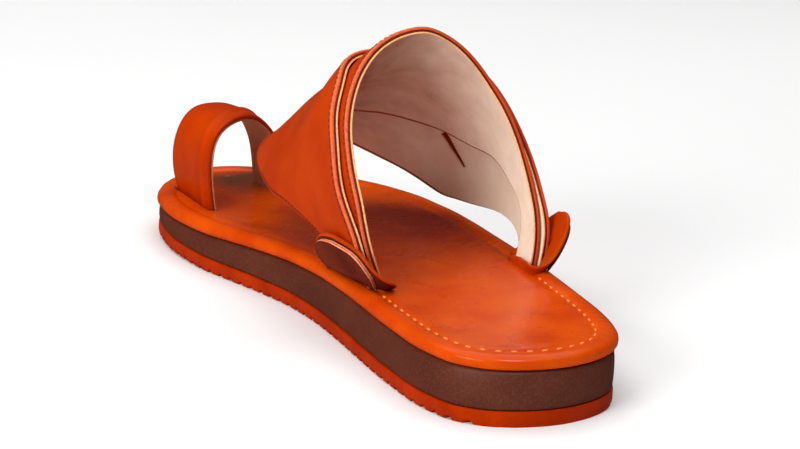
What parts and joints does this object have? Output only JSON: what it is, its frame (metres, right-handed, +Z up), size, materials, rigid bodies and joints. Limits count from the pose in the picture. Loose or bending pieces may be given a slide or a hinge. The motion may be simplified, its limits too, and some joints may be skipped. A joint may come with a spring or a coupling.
{
  "type": "slip-on leather sandal",
  "caption": "Right slip-on leather sandal with crossed instep bands over an open heel, a big toe loop and a low wedge sole with a ribbed tread.",
  "frame": {"origin": "on the floor under the middle of the sole's length", "axes": "+X to the wearer's right, which is this shoe's outer side; +Y towards the toe; +Z up"},
  "size_m": [0.102, 0.281, 0.1077],
  "materials": {
    "rubber": "orange-red rubber, satin",
    "foam": "red-brown foam with a fine skin, satin",
    "footbed_leather": "smooth orange leather, polished",
    "band_leather": "smooth dark orange leather, satin",
    "backing_leather": "dark brown suede, matt"
  },
  "bodies": {
    "root": {"outsole": "rubber", "midsole": "foam", "footbed": "footbed_leather", "back_band": "band_leather", "front_band": "band_leather", "toe_loop": "band_leather", "tab_medial": "footbed_leather", "tab_lateral": "footbed_leather", "tab_medial_backing": "backing_leather", "tab_lateral_backing": "backing_leather"}
  },
  "joints": []
}
